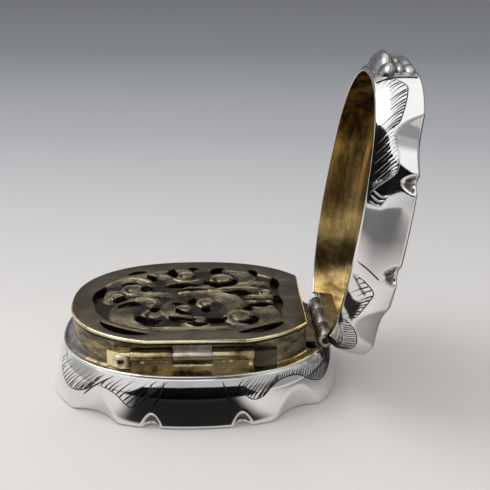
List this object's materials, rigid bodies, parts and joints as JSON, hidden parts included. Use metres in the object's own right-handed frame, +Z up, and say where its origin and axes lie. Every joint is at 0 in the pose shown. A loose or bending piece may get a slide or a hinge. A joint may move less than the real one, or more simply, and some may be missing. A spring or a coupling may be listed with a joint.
{
  "type": "silver vinaigrette",
  "caption": "Small lobed oval silver vinaigrette with a hinged lid, gilt inside, and a hinged pierced grille over a sponge.",
  "frame": {"origin": "centre of the base's flat underside", "axes": "+Z up, +X towards the lid hinge, -Y towards the grille hinge"},
  "size_m": [0.0488, 0.0312, 0.0468],
  "materials": {
    "silver": "polished",
    "gilt": "worn gilt",
    "oxidised": "oxidised gilt",
    "sponge": "matte"
  },
  "bodies": {
    "base": {"base_wall": "silver", "base_panel": "silver", "seat_rim": "silver", "collar": "gilt", "sponge": "sponge", "base_hinge_bearer": "gilt", "base_knuckle_front": "gilt", "base_knuckle_rear": "gilt", "lid_hinge_pin": "silver", "grille_knuckle_left": "gilt", "grille_knuckle_right": "gilt", "grille_hinge_pin": "silver", "grille_hinge_bearer": "gilt", "hinge_block_left": "gilt", "hinge_block_right": "gilt"},
    "lid": {"lid_wall": "silver", "lid_panel": "silver", "thumb_piece": "silver", "lid_hinge_bearer": "gilt", "lid_knuckle": "gilt"},
    "grille": {"grille_plate": "oxidised", "grille_leaf": "gilt", "grille_knuckle_middle": "gilt"}
  },
  "joints": [
    {"name": "lid_hinge", "type": "hinge", "parent": "base", "child": "lid", "pos_m": [0.01815, 0, 0.00766], "axis": [0, 1, 0], "range_deg": [-88, 0]},
    {"name": "grille_hinge", "type": "hinge", "parent": "base", "child": "grille", "pos_m": [-0.0005, -0.01156, 0.0091], "axis": [1, 0, 0], "range_deg": [0, 118]}
  ]
}
